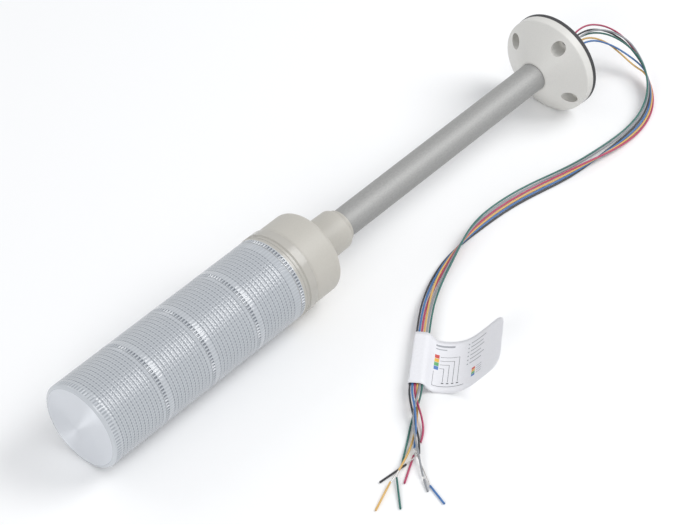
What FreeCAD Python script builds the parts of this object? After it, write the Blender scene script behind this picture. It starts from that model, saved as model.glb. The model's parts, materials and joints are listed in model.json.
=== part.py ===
import FreeCAD, Part
import math
import os
import Sketcher

# Signal tower: four clear lens tiers on a housing, a pole and a round mounting flange, with six
# flying leads. Each rigid piece is built about the lamp's own axis, with its height counted from
# the panel face of the flange, and is then laid down as the lamp comes to rest: on the edge of
# its gasket and the edge of its top lens, with +X from the lens end to the flange.

doc = FreeCAD.newDocument("signal_tower")
sheet = doc.addObject("Spreadsheet::Sheet", "sizes")

SIZES = {
    # panel gasket and mounting flange
    "gasket_thickness": 2.8,
    "flange_radius": 35.4,
    "gasket_proud": 0.2,
    "flange_rim_height": 6.2,
    "flange_rise": 16.0,
    "flange_top_land": 1.0,
    "flange_edge_round": 1.2,
    "bolt_circle_radius": 27.2,
    "bolt_hole_radius": 2.6,
    "counterbore_radius": 5.0,
    "counterbore_floor": 3.2,
    "hole_relief_radius": 3.4,
    "hole_relief_depth": 0.8,
    "bolt_turn": 63.0,
    "lock_nut_radius": 14.0,
    "lock_nut_height": 3.6,
    "lock_nut_inset": 0.4,
    "nut_notch_width": 3.0,
    "nut_notch_depth": 1.5,
    "nut_seat_clearance": 0.1,
    "gasket_nut_clearance": 1.0,
    "bolt_count": 4.0,
    # pole
    "pole_radius": 10.1,
    "pole_wall": 1.6,
    "pole_length": 267.0,
    "pole_end_proud": 0.6,
    "pole_clearance": 0.1,
    # housing with its neck
    "neck_length": 27.3,
    "neck_tip_radius": 14.1,
    "neck_root_radius": 14.8,
    "neck_lip_radius": 11.6,
    "neck_lip_height": 3.3,
    "neck_edge_round": 1.8,
    "housing_inset": 0.6,
    "housing_wall": 2.2,
    "housing_floor": 3.0,
    "housing_edge_round": 4.4,
    "housing_height": 25.4,
    "spigot_height": 12.4,
    "boss_height": 4.0,
    "floor_corner_taper": 1.5,
    "spigot_step": 3.0,
    "post_count": 3.0,
    "post_root": 0.5,
    "pole_nut_height": 4.0,
    "post_radius": 2.6,
    "post_inset": 4.0,
    # base ring and lens tiers
    "lens_radius": 30.0,
    "lens_wall": 2.0,
    "ring_proud": 0.3,
    "ring_height": 15.1,
    "ring_skirt_height": 6.0,
    "ring_taper_height": 2.0,
    "tier_pitch": 40.8,
    "top_tier_height": 43.7,
    "cone_rise": 2.6,
    "cone_edge_inset": 2.4,
    "cone_inner_drop": 0.6,
    "top_edge_height": 2.6,
    "top_edge_inset": 0.6,
    "top_edge_drop": 0.9,
    "seam_gap": 0.3,
    "collar_wall": 1.8,
    "collar_height": 7.0,
    "collar_clearance": 0.3,
    "grip_height": 2.8,
    "top_grip_height": 4.9,
    "grip_depth": 0.6,
    "grip_margin": 0.3,
    "grip_count": 84.0,
    "rib_pitch": 3.04,
    "rib_depth": 0.5,
    "rib_share": 0.5,
    "rib_start": 1.4,
    "first_rib_start": 4.8,
    "rib_end": 5.5,
    "top_rib_end": 5.7,
    # bayonet between one tier and the next
    "lug_count": 3.0,
    "lug_angle": 12.0,
    "lug_height": 2.0,
    "lug_depth": 1.0,
    "lug_play": 0.3,
    "lug_play_angle": 1.0,
    "lock_turn": 15.0,
    "slot_land": 1.2,
    # ring seal in the collar's root
    "seal_height": 1.4,
    "seal_depth": 0.9,
    "seal_offset": 0.5,
    "seal_clearance": 0.1,
    # control board and its parts
    "board_inset": 3.0,
    "board_clearance": 0.5,
    "board_thickness": 1.6,
    "screw_head_radius": 2.4,
    "screw_head_height": 1.6,
    "screw_shank_radius": 1.2,
    "screw_length": 7.0,
    "screw_clearance": 0.1,
    "screw_end_clearance": 0.2,
    "terminal_length": 20.0,
    "terminal_width": 9.0,
    "terminal_height": 9.0,
    "capacitor_radius": 4.0,
    "capacitor_height": 5.5,
    "capacitor_offset": 14.5,
    "capacitor_gap": 1.0,
    "chip_length": 9.0,
    "chip_width": 6.0,
    "chip_height": 1.6,
    # light column
    "rod_radius": 2.0,
    "rod_foot_radius": 5.0,
    "rod_foot_height": 2.0,
    "rod_clearance": 0.2,
    "rod_nut_radius": 3.6,
    "rod_nut_height": 3.2,
    "rod_end": 1.0,
    "tier_board_radius": 22.0,
    "tier_board_lift": 1.0,
    "column_radius": 8.0,
    "column_wall": 1.4,
    "funnel_radius": 21.0,
    "funnel_wall": 1.4,
    "funnel_foot": 8.0,
    "funnel_rim": 1.2,
    "top_funnel_height": 30.0,
    "clamp_disc_thickness": 1.5,
    "led_side": 3.0,
    "led_height": 1.2,
    "led_circle_radius": 16.0,
    "led_count": 12.0,
    "link_width": 6.0,
    "link_thickness": 0.6,
    "link_offset": 4.0,
    # leads and their label
    "lead_diameter": 1.3,
    "conductor_diameter": 0.7,
    "lead_pitch": 1.6,
    "exit_circle_radius": 2.6,
    "lead_end_gap": 0.45,
    "label_thickness": 0.3,
    "label_length": 46.0,
    "label_corner_radius": 9.0,
    "wrap_inner_width": 9.9,
    "wrap_inner_height": 2.2,
    "wrap_middle_height": 6.3,
    # fits that are all but tight, and how far a cutting solid runs past what it cuts
    "fit_gap": 0.05,
    "cut_past": 1.0,
}

for row, (alias, number) in enumerate(SIZES.items(), start=1):
    sheet.set("A%d" % row, alias)
    sheet.set("B%d" % row, str(number))
    sheet.setAlias("B%d" % row, alias)
doc.recompute()


class Size:
    """A length with its number and the sheet expression that gives it."""

    def __init__(self, value, text):
        self.value = value
        self.text = text

    def combined(self, other, value, sign, swapped=False):
        other_text = other.text if isinstance(other, Size) else repr(float(other))
        first, second = (other_text, self.text) if swapped else (self.text, other_text)
        return Size(value, "(%s %s %s)" % (first, sign, second))

    def __add__(self, other):
        return self.combined(other, self.value + number_of(other), "+")

    def __sub__(self, other):
        return self.combined(other, self.value - number_of(other), "-")

    def __rsub__(self, other):
        return self.combined(other, number_of(other) - self.value, "-", swapped=True)

    def __mul__(self, other):
        return self.combined(other, self.value * number_of(other), "*")

    def __truediv__(self, other):
        return self.combined(other, self.value / number_of(other), "/")


def number_of(size):
    return size.value if isinstance(size, Size) else float(size)


def size(alias):
    return Size(float(sheet.get(alias)), "sizes." + alias)


ZERO = Size(0.0, "0")
PAST = size("cut_past")


def bind(obj, **sizes):
    """Tie an object's properties to the sheet."""
    for name, value in sizes.items():
        obj.setExpression(name, value.text if isinstance(value, Size) else repr(value))
    return obj


# Derived places along the lamp's axis -----------------------------------------------------------

gasket_top = size("gasket_thickness")
gasket_radius = size("flange_radius") + size("gasket_proud")
flange_rim_top = gasket_top + size("flange_rim_height")
flange_top = flange_rim_top + size("flange_rise")
nut_bottom = gasket_top + size("lock_nut_inset")
nut_top = nut_bottom + size("lock_nut_height")
pole_bottom = nut_bottom
pole_top = pole_bottom + size("pole_length")
pole_bore = size("pole_radius") - size("pole_wall")
pole_hole = size("pole_radius") + size("pole_clearance")

boss_top = pole_top - size("pole_nut_height") - size("pole_end_proud")
housing_inside = boss_top - size("boss_height")
housing_base = housing_inside - size("housing_floor")
neck_base = housing_base - size("neck_length")
housing_shoulder = housing_base + size("housing_height")
spigot_top = housing_shoulder + size("spigot_height")
housing_radius = size("lens_radius") - size("housing_inset")
spigot_radius = size("lens_radius") - size("lens_wall") - size("collar_clearance")
board_radius = spigot_radius - size("housing_wall") - size("board_clearance")
post_circle_radius = board_radius - size("post_inset")

ring_top = housing_shoulder + size("ring_height")
ring_radius = size("lens_radius") + size("ring_proud")
lens_bore = size("lens_radius") - size("lens_wall")
collar_radius = lens_bore - size("collar_clearance")
collar_bore = collar_radius - size("collar_wall")
seams = [ring_top + size("tier_pitch") * index for index in range(4)]
lens_top = seams[3] + size("top_tier_height")

control_board_top = spigot_top - size("board_inset")
control_board_bottom = control_board_top - size("board_thickness")


# The lamp's rest: gasket edge and top lens edge both on the floor --------------------------------

REST_HEIGHT = (lens_top - size("top_edge_height")).value
TILT = math.atan2(gasket_radius.value - size("lens_radius").value,
                  REST_HEIGHT - gasket_top.value)
AXIS_HEIGHT = (gasket_top.value * math.sin(TILT) + gasket_radius.value * math.cos(TILT))
APEX = (lens_top + size("cone_rise")).value
EXIT_X = (APEX * math.cos(TILT) - gasket_radius.value * math.sin(TILT)) / 2
LAMP_UP = FreeCAD.Vector(-math.sin(TILT), 0, math.cos(TILT))
LAMP_AXIS = FreeCAD.Vector(-math.cos(TILT), 0, -math.sin(TILT))
LAID_DOWN = FreeCAD.Placement(
    FreeCAD.Vector(EXIT_X, 0, AXIS_HEIGHT),
    FreeCAD.Rotation(LAMP_UP, FreeCAD.Vector(0, 1, 0), LAMP_AXIS, "ZXY"))

PARTS = []


def keep(obj, label, laid=True):
    """Name a finished piece and lay it down with the lamp."""
    obj.Label = label
    if laid:
        obj.Placement = LAID_DOWN
    PARTS.append(obj)
    return obj


# Helpers ----------------------------------------------------------------------------------------

def origin_feature(body, role):
    return next(item for item in body.Origin.OriginFeatures if item.Role == role)


def outline_sketch(body, name, corners):
    """A closed outline in the XZ plane, each corner tied to the sheet."""
    sketch = body.newObject("Sketcher::SketchObject", name)
    sketch.AttachmentSupport = (origin_feature(body, "XZ_Plane"), "")
    sketch.MapMode = "FlatFace"
    count = len(corners)
    points = [FreeCAD.Vector(number_of(x), number_of(y), 0) for x, y in corners]
    for index in range(count):
        sketch.addGeometry(Part.LineSegment(points[index], points[(index + 1) % count]), False)
    for index in range(count):
        after = (index + 1) % count
        sketch.addConstraint(Sketcher.Constraint("Coincident", index, 2, after, 1))
    for index, (x, y) in enumerate(corners):
        place_corner(sketch, index, "DistanceX", x, -2)
        place_corner(sketch, index, "DistanceY", y, -1)
    return sketch


def place_corner(sketch, index, kind, distance, axis):
    if distance.value == 0.0:
        sketch.addConstraint(Sketcher.Constraint("PointOnObject", index, 1, axis))
        return
    number = sketch.addConstraint(Sketcher.Constraint(kind, -1, 1, index, 1, distance.value))
    sketch.setExpression("Constraints[%d]" % number, distance.text)


def turned(name, corners):
    """A piece of revolution about the lamp's axis."""
    body = doc.addObject("PartDesign::Body", name)
    sketch = outline_sketch(body, name + "_outline", corners)
    turn = body.newObject("PartDesign::Revolution", name + "_turn")
    turn.Profile = sketch
    turn.ReferenceAxis = (sketch, ["V_Axis"])
    turn.Angle = 360
    doc.recompute()
    return body


def circle_edges(shape, radius, height):
    """Names of the full or part circles of one radius at one height."""
    found = []
    for number, edge in enumerate(shape.Edges, start=1):
        curve = edge.Curve
        if not isinstance(curve, Part.Circle):
            continue
        if abs(curve.Radius - radius.value) < 1e-4 and abs(curve.Center.z - height.value) < 1e-4:
            found.append("Edge%d" % number)
    return found


def rounded(body, name, radius, *circles):
    """Round the circular edges given as (radius, height)."""
    tip = body.Tip
    edges = [edge for circle in circles for edge in circle_edges(tip.Shape, *circle)]
    fillet = body.newObject("PartDesign::Fillet", name)
    fillet.Base = (tip, edges)
    bind(fillet, Radius=radius)
    doc.recompute()
    return body


def cylinder(name, radius, height, bottom, x=ZERO, y=ZERO):
    part = doc.addObject("Part::Cylinder", name)
    bind(part, Radius=radius, Height=height)
    part.setExpression("Placement.Base.x", x.text)
    part.setExpression("Placement.Base.y", y.text)
    part.setExpression("Placement.Base.z", bottom.text)
    return part


def box(name, length, width, height, centre_x, centre_y, bottom):
    part = doc.addObject("Part::Box", name)
    bind(part, Length=length, Width=width, Height=height)
    part.setExpression("Placement.Base.x", (centre_x - length / 2).text)
    part.setExpression("Placement.Base.y", (centre_y - width / 2).text)
    part.setExpression("Placement.Base.z", bottom.text)
    return part


def cut(name, base, tool):
    part = doc.addObject("Part::Cut", name)
    part.Base = base
    part.Tool = tool
    return part


def joined(name, *pieces):
    part = doc.addObject("Part::MultiFuse", name)
    part.Shapes = list(pieces)
    part.Refine = False
    return part


def together(name, *pieces):
    """Separate solids kept as one group."""
    group = doc.addObject("Part::Compound", name)
    group.Links = list(pieces)
    return group


def pipe_piece(name, outer, inner, height, bottom):
    return cut(name, cylinder(name + "_outer", outer, height, bottom),
               cylinder(name + "_bore", inner, height + PAST * 2, bottom - PAST))


def around(name, piece, count, first=0.0):
    """Copies of one solid, evenly spaced about the lamp's axis, as separate solids."""
    copies = []
    for index in range(int(round(count.value))):
        link = doc.addObject("Part::Compound", "%s_%d" % (name, index + 1))
        link.Links = [piece]
        link.setExpression("Placement.Rotation.Angle",
                           "%r + %d * 360 / %s" % (first, index, count.text))
        link.setExpression("Placement.Rotation.Axis.z", "1")
        copies.append(link)
    return copies


# Flange end -------------------------------------------------------------------------------------

def make_gasket():
    nut_opening = size("lock_nut_radius") + size("gasket_nut_clearance")
    body = turned("panel_gasket", [
        (nut_opening, ZERO),
        (gasket_radius, ZERO),
        (gasket_radius, gasket_top),
        (nut_opening, gasket_top),
    ])
    drilled(body, "panel_gasket", size("bolt_hole_radius"), ZERO, gasket_top)
    keep(body, "panel_gasket")


def drilled(body, name, radius, bottom, top):
    """Four holes on the flange's bolt circle, from bottom to top."""
    sketch = body.newObject("Sketcher::SketchObject", name + "_hole_%d" % len(body.Group))
    sketch.AttachmentSupport = (origin_feature(body, "XY_Plane"), "")
    sketch.MapMode = "FlatFace"
    bind(sketch, **{"AttachmentOffset.Base.z": top})
    sketch.addGeometry(Part.Circle(FreeCAD.Vector(size("bolt_circle_radius").value, 0, 0),
                                   FreeCAD.Vector(0, 0, 1), radius.value), False)
    sketch.addConstraint(Sketcher.Constraint("PointOnObject", 0, 3, -1))
    across = sketch.addConstraint(
        Sketcher.Constraint("DistanceX", -1, 1, 0, 3, size("bolt_circle_radius").value))
    sketch.setExpression("Constraints[%d]" % across, size("bolt_circle_radius").text)
    wide = sketch.addConstraint(Sketcher.Constraint("Radius", 0, radius.value))
    sketch.setExpression("Constraints[%d]" % wide, radius.text)
    sketch.setExpression("AttachmentOffset.Rotation.Angle", size("bolt_turn").text)
    sketch.setExpression("AttachmentOffset.Rotation.Axis.z", "1")
    hole = body.newObject("PartDesign::Pocket", sketch.Name + "_cut")
    hole.Profile = sketch
    hole.Reversed = False
    bind(hole, Length=top - bottom)
    doc.recompute()
    ring = body.newObject("PartDesign::PolarPattern", sketch.Name + "_ring")
    ring.Originals = [hole]
    ring.Axis = (origin_feature(body, "Z_Axis"), [""])
    ring.Angle = 360
    bind(ring, Occurrences=size("bolt_count"))
    body.Tip = ring
    doc.recompute()
    return body


def make_flange():
    land = pole_hole + size("flange_top_land")
    nut_seat = size("lock_nut_radius") + size("nut_seat_clearance")
    body = turned("mounting_flange", [
        (nut_seat, gasket_top),
        (size("flange_radius"), gasket_top),
        (size("flange_radius"), flange_rim_top),
        (land, flange_top),
        (pole_hole, flange_top),
        (pole_hole, nut_top),
        (nut_seat, nut_top),
    ])
    rounded(body, "mounting_flange_edge", size("flange_edge_round"),
            (size("flange_radius"), flange_rim_top))
    drilled(body, "mounting_flange", size("counterbore_radius"),
            gasket_top + size("counterbore_floor"), flange_top)
    drilled(body, "mounting_flange", size("bolt_hole_radius"), gasket_top, flange_top)
    drilled(body, "mounting_flange", size("hole_relief_radius"), gasket_top,
            gasket_top + size("hole_relief_depth"))
    keep(body, "mounting_flange")


def make_pole():
    keep(turned("pole", [
        (pole_bore, pole_bottom),
        (size("pole_radius"), pole_bottom),
        (size("pole_radius"), pole_top),
        (pole_bore, pole_top),
    ]), "pole")


def make_ring_nut(name, bottom, height):
    """A ring nut on the pole, with four spanner notches."""
    blank = pipe_piece(name + "_blank", size("lock_nut_radius"), pole_hole, height, bottom)
    notch = box(name + "_notch", (size("lock_nut_radius") + PAST) * 2, size("nut_notch_width"),
                height + PAST * 2, ZERO, ZERO, bottom - PAST)
    core = cylinder(name + "_core", size("lock_nut_radius") - size("nut_notch_depth"),
                    height + PAST * 4, bottom - PAST * 2)
    across = doc.addObject("Part::Compound", name + "_notch_across")
    across.Links = [notch]
    across.Placement = FreeCAD.Placement(FreeCAD.Vector(), FreeCAD.Rotation(0, 0, 90))
    notches = cut(name + "_notches", joined(name + "_cross", notch, across), core)
    keep(cut(name, blank, notches), name)


# Housing ----------------------------------------------------------------------------------------

def make_housing():
    inside = housing_radius - size("housing_wall")
    lip_base = neck_base - size("neck_lip_height")
    shoulder = housing_shoulder - size("seam_gap")
    step_base = shoulder - size("spigot_step")
    post_base = housing_base + size("post_root")
    body = turned("housing_shell", [
        (pole_hole, lip_base),
        (size("neck_lip_radius"), lip_base),
        (size("neck_lip_radius"), neck_base),
        (size("neck_tip_radius"), neck_base),
        (size("neck_root_radius"), housing_base),
        (housing_radius, housing_base),
        (housing_radius, shoulder),
        (spigot_radius, shoulder),
        (spigot_radius, spigot_top),
        (spigot_radius - size("housing_wall"), spigot_top),
        (spigot_radius - size("housing_wall"), step_base),
        (inside - size("floor_corner_taper"), housing_inside),
        (size("lock_nut_radius"), housing_inside),
        (size("lock_nut_radius"), boss_top),
        (pole_hole, boss_top),
    ])
    rounded(body, "housing_edge", size("housing_edge_round"),
            (housing_radius, housing_base))
    rounded(body, "neck_edge", size("neck_edge_round"),
            (size("neck_tip_radius"), neck_base))
    sketch = body.newObject("Sketcher::SketchObject", "board_post_circle")
    sketch.AttachmentSupport = (origin_feature(body, "XY_Plane"), "")
    sketch.MapMode = "FlatFace"
    bind(sketch, **{"AttachmentOffset.Base.z": post_base})
    sketch.addGeometry(Part.Circle(FreeCAD.Vector(post_circle_radius.value, 0, 0),
                                   FreeCAD.Vector(0, 0, 1), size("post_radius").value), False)
    sketch.addConstraint(Sketcher.Constraint("PointOnObject", 0, 3, -1))
    across = sketch.addConstraint(
        Sketcher.Constraint("DistanceX", -1, 1, 0, 3, post_circle_radius.value))
    sketch.setExpression("Constraints[%d]" % across, post_circle_radius.text)
    wide = sketch.addConstraint(Sketcher.Constraint("Radius", 0, size("post_radius").value))
    sketch.setExpression("Constraints[%d]" % wide, size("post_radius").text)
    post = body.newObject("PartDesign::Pad", "board_post")
    post.Profile = sketch
    bind(post, Length=control_board_bottom - post_base)
    doc.recompute()
    ring = body.newObject("PartDesign::PolarPattern", "board_posts")
    ring.Originals = [post]
    ring.Axis = (origin_feature(body, "Z_Axis"), [""])
    ring.Angle = 360
    bind(ring, Occurrences=size("post_count"))
    body.Tip = ring
    doc.recompute()
    pilots = together("pilot_holes", *around("pilot_hole", cylinder(
        "pilot", size("screw_shank_radius"), size("screw_length"),
        control_board_top - size("screw_length"), post_circle_radius),
        size("post_count")))
    keep(cut("drilled_housing", body, pilots), "lower_housing")


# Control board ----------------------------------------------------------------------------------

def make_control_board():
    board = cylinder("control_board_disc", board_radius, size("board_thickness"),
                     control_board_bottom)
    holes = together("control_board_holes", *around("control_board_hole", cylinder(
        "control_board_drill", size("screw_shank_radius") + size("screw_clearance"),
        size("board_thickness") + PAST * 2, control_board_bottom - PAST,
        post_circle_radius), size("post_count")))
    keep(cut("control_board", board, holes), "control_board")

    head = cylinder("board_screw_head", size("screw_head_radius"), size("screw_head_height"),
                    control_board_top, post_circle_radius)
    reach = size("screw_length") - size("screw_end_clearance")
    shank = cylinder("board_screw_shank", size("screw_shank_radius") - size("fit_gap"),
                     reach, control_board_top - reach, post_circle_radius)
    screw = joined("board_screw", head, shank)
    keep(together("board_screws", *around("board_screw_set", screw, size("post_count"))),
         "board_screws")

    block = box("terminal_block_body", size("terminal_length"), size("terminal_width"),
                size("terminal_height"), ZERO, ZERO,
                control_board_bottom - size("terminal_height"))
    keep(together("terminal_block", block), "terminal_block")

    aside = size("capacitor_radius") + size("capacitor_gap") / 2
    capacitors = [cylinder("capacitor_" + name, size("capacitor_radius"),
                           size("capacitor_height"), control_board_top,
                           ZERO - size("capacitor_offset"), place)
                  for name, place in (("left", aside), ("right", ZERO - aside))]
    chip = box("driver_chip", size("chip_width"), size("chip_length"), size("chip_height"),
               size("capacitor_offset") / 2 + size("rod_foot_radius"), ZERO, control_board_top)
    keep(together("driver_parts", chip, *capacitors), "driver_parts")


# Base ring and lens tiers -----------------------------------------------------------------------

def collar_corners(seam):
    """The bayonet collar that stands above a seam, from its outer foot round to its bore."""
    groove = seam + size("seal_offset")
    inner = collar_radius - size("seal_depth")
    return [
        (collar_radius, seam),
        (collar_radius, groove),
        (inner, groove),
        (inner, groove + size("seal_height")),
        (collar_radius, groove + size("seal_height")),
        (collar_radius, seam + size("collar_height")),
        (collar_bore, seam + size("collar_height")),
    ]


def slot_tool(name, seam):
    """Solid of one bayonet slot: a channel round the collar, open upwards at one end."""
    channel_bottom = slot_floor(seam)
    channel_height = size("lug_height") + size("lug_play") * 2
    outer = collar_radius + PAST
    inner = collar_radius - size("lug_depth")
    play_angle = size("lug_play_angle")
    channel_angle = size("lug_angle") + size("lock_turn") + play_angle * 2
    mouth_angle = size("lug_angle") + play_angle * 2
    top = seam + size("collar_height") + PAST
    pieces = []
    for label, angle, bottom, height, first in (
            ("channel", channel_angle, channel_bottom, channel_height, ZERO),
            ("mouth", mouth_angle, channel_bottom, top - channel_bottom, size("lock_turn"))):
        whole = cylinder("%s_%s" % (name, label), outer, height, bottom)
        bind(whole, Angle=angle)
        core = cylinder("%s_%s_core" % (name, label), inner, height + PAST * 2, bottom - PAST)
        wedge = cut("%s_%s_wedge" % (name, label), whole, core)
        turn = first - size("lug_angle") / 2 - play_angle
        wedge.setExpression("Placement.Rotation.Angle", turn.text)
        wedge.setExpression("Placement.Rotation.Axis.z", "1")
        pieces.append(wedge)
    return joined(name, *pieces)


def slot_floor(seam):
    return (seam + size("seal_offset") + size("seal_height") + size("slot_land"))


def with_bayonet_slots(name, blank, seam):
    slots = together(name + "_slots", *around(name + "_slot", slot_tool(name + "_slot_tool", seam),
                                              size("lug_count")))
    return cut(name + "_slotted", blank, slots)


def with_bayonet_lugs(name, blank, seam):
    """Three lugs inside the skirt, which ride in the slots of the collar below."""
    height = size("lug_height")
    bottom = slot_floor(seam) + size("lug_play")
    whole = cylinder(name + "_lug_arc", lens_bore + size("lens_wall") / 2, height, bottom)
    bind(whole, Angle=size("lug_angle"))
    core = cylinder(name + "_lug_core",
                    collar_radius - size("lug_depth") + size("lug_play"), height + PAST * 2,
                    bottom - PAST)
    lug = cut(name + "_lug", whole, core)
    lug.setExpression("Placement.Rotation.Angle", (ZERO - size("lug_angle") / 2).text)
    lug.setExpression("Placement.Rotation.Axis.z", "1")
    return joined(name + "_lugged", blank, *around(name + "_lug_set", lug, size("lug_count")))


def grip_notches(name, radius, bottom, height):
    """Notches between the square teeth of a grip band."""
    width = radius * math.pi / size("grip_count")
    notch = box(name, size("grip_depth") * 2, width, height, radius, ZERO, bottom)
    doc.recompute()
    step = 360.0 / size("grip_count").value
    copies = [notch.Shape.copy() for _ in range(int(round(size("grip_count").value)))]
    for index, copy in enumerate(copies):
        copy.rotate(FreeCAD.Vector(), FreeCAD.Vector(0, 0, 1), index * step)
    comb = doc.addObject("Part::Feature", name + "_comb")
    comb.Shape = Part.makeCompound(copies)
    return comb


# How far a groove's cutting solid stands out of the lens, as a share of the groove's depth.
GROOVE_PROUD_SHARE = 0.15


def rib_grooves(name, bottom, top):
    """V grooves round a lens between two heights, one solid of revolution for each."""
    pitch = size("rib_pitch").value
    depth = size("rib_depth").value
    radius = size("lens_radius").value
    proud = depth * GROOVE_PROUD_SHARE
    half_width = (depth + proud) / depth * size("rib_share").value * pitch / 2
    count = int((top.value - bottom.value) / pitch)
    rings = []
    for index in range(count):
        middle = bottom.value + (index + 0.5) * pitch
        corners = [FreeCAD.Vector(radius + proud, 0, middle - half_width),
                   FreeCAD.Vector(radius - depth, 0, middle),
                   FreeCAD.Vector(radius + proud, 0, middle + half_width)]
        face = Part.Face(Part.makePolygon(corners + corners[:1]))
        rings.append(face.revolve(FreeCAD.Vector(), FreeCAD.Vector(0, 0, 1), 360))
    grooves = doc.addObject("Part::Feature", name)
    grooves.Shape = Part.makeCompound(rings)
    return grooves


def make_base_ring():
    bottom = housing_shoulder
    seam = ring_top
    skirt_top = bottom + size("ring_skirt_height")
    ledge = spigot_top + size("seam_gap")
    ring_bore = spigot_radius + size("collar_clearance")
    body = turned("base_ring_blank", [
        (ring_bore, bottom),
        (ring_radius, bottom),
        (ring_radius, skirt_top),
        (size("lens_radius"), skirt_top + size("ring_taper_height")),
        (size("lens_radius"), seam),
    ] + collar_corners(seam) + [
        (collar_bore, ledge),
        (ring_bore, ledge),
    ])
    slotted = with_bayonet_slots("base_ring", body, seam)
    grip = grip_notches("base_ring_grip", size("lens_radius"),
                        seam - size("grip_height"), size("grip_height") - size("grip_margin"))
    keep(cut("base_ring", slotted, grip), "base_ring")
    make_seal("tier_seal_1", seam)


def make_seal(name, seam):
    inner = collar_radius - size("seal_depth") + size("fit_gap")
    outer = lens_bore - size("seal_clearance")
    bottom = seam + size("seal_offset") + size("seal_clearance")
    top = bottom + size("seal_height") - size("seal_clearance") * 2
    keep(turned(name, [
        (inner, bottom),
        (outer, bottom),
        (outer, top),
        (inner, top),
    ]), name)


def make_lens(number):
    name = "lens_%d" % number
    below = seams[number - 1]
    bottom = below + size("seam_gap")
    if number < 4:
        seam = seams[number]
        shoulder = seam - size("lens_wall")
        body = turned(name + "_blank", [
            (lens_bore, bottom),
            (size("lens_radius"), bottom),
            (size("lens_radius"), seam),
        ] + collar_corners(seam) + [
            (collar_bore, shoulder),
            (lens_bore, shoulder - size("collar_wall")),
        ])
        blank = with_bayonet_slots(name, body, seam)
        grip_top = seam
        grip_height = size("grip_height")
        rib_top = seam - size("rib_end")
    else:
        rim = size("lens_radius") - size("cone_edge_inset")
        body = turned(name + "_blank", [
            (lens_bore, bottom),
            (size("lens_radius"), bottom),
            (size("lens_radius"), lens_top - size("top_edge_height")),
            (size("lens_radius") - size("top_edge_inset"), lens_top - size("top_edge_drop")),
            (rim, lens_top),
            (ZERO, lens_top + size("cone_rise")),
            (ZERO, lens_top + size("cone_rise") - size("lens_wall")),
            (lens_bore, lens_top - size("lens_wall") - size("cone_inner_drop")),
        ])
        blank = body
        grip_top = lens_top - size("top_edge_drop")
        grip_height = size("top_grip_height") - size("top_edge_drop")
        rib_top = lens_top - size("top_rib_end")
    grip = grip_notches(name + "_grip", size("lens_radius"), grip_top - grip_height,
                        grip_height - size("grip_margin"))
    rib_bottom = below + (size("first_rib_start") if number == 1 else size("rib_start"))
    grooves = rib_grooves(name + "_grooves", rib_bottom, rib_top)
    cutters = together(name + "_cutters", grip, grooves)
    lugged = with_bayonet_lugs(name, blank, below)
    keep(cut(name + "_textured", lugged, cutters), name)
    if number < 4:
        make_seal("tier_seal_%d" % (number + 1), seams[number])


# Light column -----------------------------------------------------------------------------------

def make_light_column():
    rod_hole = size("rod_radius") + size("rod_clearance")
    board = size("board_thickness")
    first_board = seams[0] + size("tier_board_lift")
    keep(pipe_piece("column_spacer", size("column_radius"),
                    size("column_radius") - size("column_wall"),
                    first_board - control_board_top, control_board_top), "column_spacer")
    for number in range(1, 5):
        bottom = seams[number - 1] + size("tier_board_lift")
        disc = cylinder("tier_board_%d_disc" % number, size("tier_board_radius"), board, bottom)
        drill = cylinder("tier_board_%d_drill" % number, rod_hole, board + PAST * 2,
                         bottom - PAST)
        keep(cut("tier_board_%d" % number, disc, drill), "tier_board_%d" % number)
        led = box("led_%d" % number, size("led_side"), size("led_side"), size("led_height"),
                  size("led_circle_radius"), ZERO, bottom + board)
        keep(together("leds_%d" % number, *around("led_%d_set" % number, led,
                                                  size("led_count"))), "leds_%d" % number)
        height = size("tier_pitch") - board if number < 4 else size("top_funnel_height")
        make_reflector(number, bottom + board, height)
    make_links(board)
    make_rod(rod_hole, board)


def make_reflector(number, bottom, height):
    wall = size("funnel_wall")
    bore = size("column_radius") - size("column_wall")
    name = "reflector_%d" % number
    keep(turned(name, [
        (bore, bottom),
        (size("column_radius"), bottom),
        (size("column_radius"), bottom + size("funnel_foot")),
        (size("funnel_radius"), bottom + height - size("funnel_rim")),
        (size("funnel_radius"), bottom + height),
        (size("funnel_radius") - wall, bottom + height),
        (size("funnel_radius") - wall, bottom + height - size("funnel_rim")),
        (bore, bottom + size("funnel_foot") + wall),
    ]), name)


def make_links(board):
    """Flat board-to-board connectors inside the column."""
    bottom = control_board_top
    for number in range(1, 5):
        top = seams[number - 1] + size("tier_board_lift")
        strip = box("board_link_%d_strip" % number, size("link_thickness"), size("link_width"),
                    top - bottom, ZERO - size("link_offset"), ZERO, bottom)
        keep(together("board_link_%d" % number, strip), "board_link_%d" % number)
        bottom = top + board


def make_rod(rod_hole, board):
    funnel_top = seams[3] + size("tier_board_lift") + board + size("top_funnel_height")
    disc_top = funnel_top + size("clamp_disc_thickness")
    nut_top_end = disc_top + size("rod_nut_height")
    foot_radius = size("rod_foot_radius") - size("column_wall")
    foot = cylinder("tie_rod_foot", foot_radius, size("rod_foot_height"), control_board_top)
    shaft = cylinder("tie_rod_shaft", size("rod_radius"),
                     nut_top_end + size("rod_end") - control_board_top, control_board_top)
    keep(joined("tie_rod", foot, shaft), "tie_rod")
    keep(pipe_piece("clamp_disc", size("funnel_radius"), rod_hole,
                    size("clamp_disc_thickness"), funnel_top), "clamp_disc")
    nut = doc.addObject("Part::Prism", "rod_nut_hexagon")
    nut.Polygon = 6
    bind(nut, Circumradius=size("rod_nut_radius"), Height=size("rod_nut_height"))
    nut.setExpression("Placement.Base.z", disc_top.text)
    bore = cylinder("rod_nut_bore", size("rod_radius") + size("fit_gap"),
                    size("rod_nut_height") + PAST * 2, disc_top - PAST)
    keep(cut("rod_nut", nut, bore), "rod_nut")


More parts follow.
